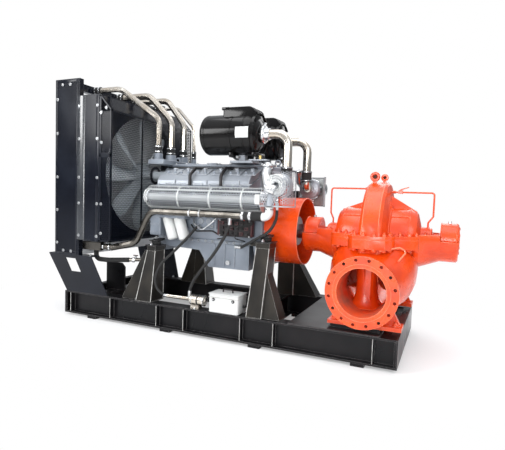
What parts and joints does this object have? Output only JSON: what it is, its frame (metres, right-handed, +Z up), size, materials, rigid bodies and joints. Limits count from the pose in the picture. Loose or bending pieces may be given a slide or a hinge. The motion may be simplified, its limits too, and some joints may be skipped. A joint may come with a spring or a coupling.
{
  "type": "diesel engine driven split-case pump set",
  "caption": "Skid-mounted diesel engine with radiator and fan driving a horizontal split-case, double-suction water pump through a guarded coupling.",
  "frame": {"origin": "middle of the bounding box at the floor", "axes": "+X along the shaft towards the pump's outboard bearing, +Y from the suction flange to the discharge flange, +Z up"},
  "size_m": [3.622, 1.36, 2.248],
  "materials": {
    "core_grey": "dull",
    "cover_grey": "satin",
    "engine_grey": "satin paint",
    "fan_grey": "satin",
    "filter_black": "gloss",
    "leg_grey": "satin, worn at the edges",
    "pipe_steel": "polished",
    "pump_red": "satin",
    "radiator_black": "gloss",
    "rubber_black": "matt",
    "shaft_steel": "machined",
    "shield_steel": "satin",
    "skid_black": "satin",
    "white_paint": "satin"
  },
  "bodies": {
    "frame": {"air_filter_front": "filter_black", "air_filter_rear": "filter_black", "battery_box": "white_paint", "bearing_bracket_inboard": "pump_red", "bearing_bracket_outboard": "pump_red", "bearing_cap_inboard": "pump_red", "bearing_cap_outboard": "pump_red", "coolant_heater": "pipe_steel", "coolant_pipe_1": "pipe_steel", "coolant_pipe_2": "pipe_steel", "coolant_pipe_3": "pipe_steel", "coolant_pipe_4": "pipe_steel", "coupling_guard": "pump_red", "crankcase": "engine_grey", "cross_beam_1": "skid_black", "cross_beam_2": "skid_black", "cross_beam_3": "skid_black", "engine_controller": "skid_black", "engine_leg_left_front": "leg_grey", "engine_leg_left_rear": "leg_grey", "engine_leg_right_front": "leg_grey", "engine_leg_right_rear": "leg_grey", "exhaust_shield_front": "shield_steel", "exhaust_shield_rear": "shield_steel", "fan_guard": "radiator_black", "fan_shroud": "radiator_black", "filter_bracket": "cover_grey", "flywheel_housing": "engine_grey", "gear_cover": "engine_grey", "hose_heater_feed": "rubber_black", "hose_heater_return": "rubber_black", "hose_oil_drain": "rubber_black", "intake_manifold": "engine_grey", "intake_pipe_front": "pipe_steel", "intake_pipe_rear": "pipe_steel", "lower_coolant_pipe": "pipe_steel", "oil_filters": "white_paint", "oil_pan": "engine_grey", "pump_deck_plate": "skid_black", "pump_lower_casing": "pump_red", "pump_upper_casing": "pump_red", "radiator_bracket_front": "radiator_black", "radiator_bracket_rear": "radiator_black", "radiator_channel_front": "radiator_black", "radiator_channel_rear": "radiator_black", "radiator_core": "core_grey", "radiator_header": "radiator_black", "seal_pipe_left": "shaft_steel", "seal_pipe_right": "shaft_steel", "skid_end_beam_left": "skid_black", "skid_end_beam_right": "skid_black", "skid_rail_front": "skid_black", "skid_rail_rear": "skid_black", "turbocharger_front": "shield_steel", "turbocharger_rear": "shield_steel", "valve_cover_front": "cover_grey", "valve_cover_rear": "cover_grey"},
    "fan_rotor": {"fan": "fan_grey"},
    "pump_rotor": {"pump_shaft": "shaft_steel", "coupling": "shaft_steel"}
  },
  "joints": [
    {"name": "fan_spin", "type": "hinge", "parent": "frame", "child": "fan_rotor", "pos_m": [-1.246, 0, 1.395], "axis": [1, 0, 0], "continuous": true},
    {"name": "pump_shaft_spin", "type": "hinge", "parent": "frame", "child": "pump_rotor", "pos_m": [1.199, 0, 0.92], "axis": [1, 0, 0], "continuous": true}
  ]
}
